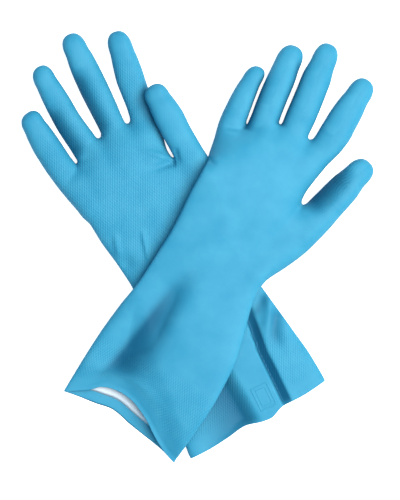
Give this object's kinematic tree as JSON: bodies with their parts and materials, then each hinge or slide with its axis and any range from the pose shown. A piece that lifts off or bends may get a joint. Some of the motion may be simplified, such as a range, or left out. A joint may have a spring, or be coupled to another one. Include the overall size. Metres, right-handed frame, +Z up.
{
  "type": "rubber gloves",
  "caption": "Pair of long flock-lined household rubber gloves with textured palms and flared gauntlets, one laid across the other.",
  "frame": {"origin": "centre of the pair's outline, on the table that the gloves lie on", "axes": "+Z up from the table, +Y towards the fingertips, +X towards the upper glove's fingers"},
  "size_m": [0.2479, 0.3021, 0.0374],
  "materials": {
    "rubber": "satin",
    "flock": "matte"
  },
  "bodies": {
    "right_glove": {"right_gauntlet": "rubber", "right_hand": "rubber", "right_gauntlet_lining": "flock", "right_hand_lining": "flock"},
    "right_thumb": {"right_thumb": "rubber", "right_thumb_lining": "flock"},
    "right_index": {"right_index": "rubber", "right_index_lining": "flock"},
    "right_middle": {"right_middle": "rubber", "right_middle_lining": "flock"},
    "right_ring": {"right_ring": "rubber", "right_ring_lining": "flock"},
    "right_little": {"right_little": "rubber", "right_little_lining": "flock"},
    "left_gauntlet": {"left_gauntlet": "rubber", "left_gauntlet_lining": "flock"},
    "left_hand": {"left_hand": "rubber", "left_hand_lining": "flock"},
    "left_thumb": {"left_thumb": "rubber", "left_thumb_lining": "flock"},
    "left_index": {"left_index": "rubber", "left_index_lining": "flock"},
    "left_middle": {"left_middle": "rubber", "left_middle_lining": "flock"},
    "left_ring": {"left_ring": "rubber", "left_ring_lining": "flock"},
    "left_little": {"left_little": "rubber", "left_little_lining": "flock"}
  },
  "joints": [
    {"name": "lift_off", "type": "slide", "parent": "right_glove", "child": "left_gauntlet", "axis": [0, 0, 1], "range_m": [0, 0.12]},
    {"name": "left_wrist_fold", "type": "hinge", "parent": "left_gauntlet", "child": "left_hand", "pos_m": [0.0143, -0.0071, 0.0303], "axis": [0.8755, -0.4833, 0], "range_deg": [0, 60], "stiffness_Nm_per_rad": 0.05},
    {"name": "right_thumb_fold", "type": "hinge", "parent": "right_glove", "child": "right_thumb", "pos_m": [-0.01188, 0.07522, 0.02382], "axis": [0.884, 0.4674, 0], "range_deg": [0, 75], "stiffness_Nm_per_rad": 0.01},
    {"name": "right_index_fold", "type": "hinge", "parent": "right_glove", "child": "right_index", "pos_m": [-0.04587, 0.11105, 0.01556], "axis": [0.9515, 0.3076, 0], "range_deg": [0, 75], "stiffness_Nm_per_rad": 0.01},
    {"name": "right_middle_fold", "type": "hinge", "parent": "right_glove", "child": "right_middle", "pos_m": [-0.06195, 0.08671, 0.01521], "axis": [0.908, 0.4191, 0], "range_deg": [0, 75], "stiffness_Nm_per_rad": 0.01},
    {"name": "right_ring_fold", "type": "hinge", "parent": "right_glove", "child": "right_ring", "pos_m": [-0.08371, 0.07517, 0.01574], "axis": [0.8658, 0.5003, 0], "range_deg": [0, 75], "stiffness_Nm_per_rad": 0.01},
    {"name": "right_little_fold", "type": "hinge", "parent": "right_glove", "child": "right_little", "pos_m": [-0.09659, 0.05459, 0.01627], "axis": [0.856, 0.5169, 0], "range_deg": [0, 75], "stiffness_Nm_per_rad": 0.01},
    {"name": "left_thumb_fold", "type": "hinge", "parent": "left_hand", "child": "left_thumb", "pos_m": [0.08728, 0.02343, 0.0198], "axis": [0.7114, -0.7028, 0], "range_deg": [0, 75], "stiffness_Nm_per_rad": 0.01},
    {"name": "left_index_fold", "type": "hinge", "parent": "left_hand", "child": "left_index", "pos_m": [0.09416, 0.07446, 0.01856], "axis": [0.8526, -0.5226, 0], "range_deg": [0, 75], "stiffness_Nm_per_rad": 0.01},
    {"name": "left_middle_fold", "type": "hinge", "parent": "left_hand", "child": "left_middle", "pos_m": [0.07151, 0.08582, 0.01788], "axis": [0.9198, -0.3923, 0], "range_deg": [0, 75], "stiffness_Nm_per_rad": 0.01},
    {"name": "left_ring_fold", "type": "hinge", "parent": "left_hand", "child": "left_ring", "pos_m": [0.04967, 0.09446, 0.01756], "axis": [0.9106, -0.4134, 0], "range_deg": [0, 75], "stiffness_Nm_per_rad": 0.01},
    {"name": "left_little_fold", "type": "hinge", "parent": "left_hand", "child": "left_little", "pos_m": [0.02657, 0.09007, 0.01686], "axis": [0.9077, -0.4195, 0], "range_deg": [0, 75], "stiffness_Nm_per_rad": 0.01}
  ]
}
